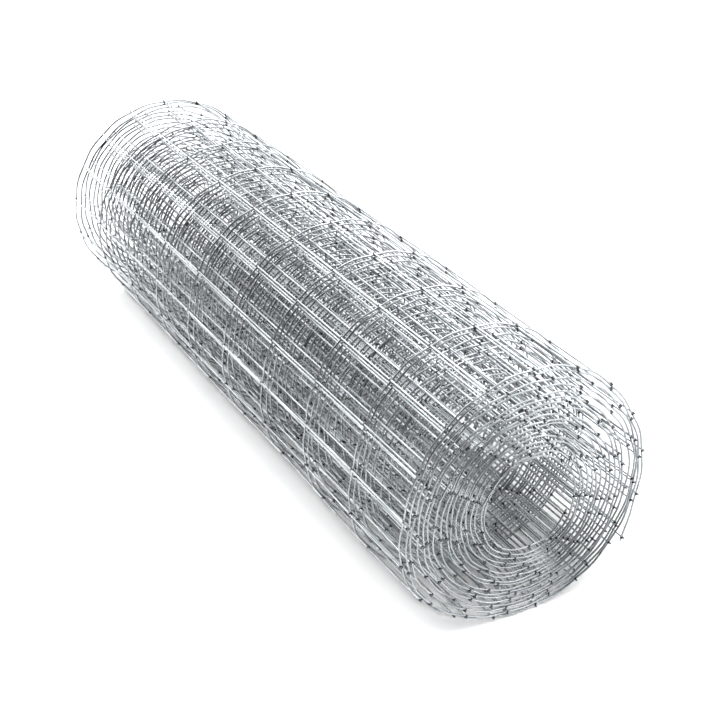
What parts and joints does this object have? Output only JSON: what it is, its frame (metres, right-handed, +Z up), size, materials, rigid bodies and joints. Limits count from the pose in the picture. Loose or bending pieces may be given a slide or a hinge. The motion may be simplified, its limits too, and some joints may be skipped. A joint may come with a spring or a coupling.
{
  "type": "roll of welded wire mesh fencing",
  "caption": "Roll of galvanised welded wire mesh fencing lying on its side, wound as a loose spiral round an open core, with its outer end sprung away from the roll.",
  "frame": {"origin": "on the floor, under the middle of the lying roll", "axes": "+X along the roll, towards the end that the picture shows; +Z up"},
  "size_m": [0.904, 0.2754, 0.272],
  "materials": {
    "galvanised_wire": "bright zinc coating, slightly mottled, duller and darker at the welds and cut ends"
  },
  "bodies": {
    "root": {"mesh_roll": "galvanised_wire"}
  },
  "joints": []
}
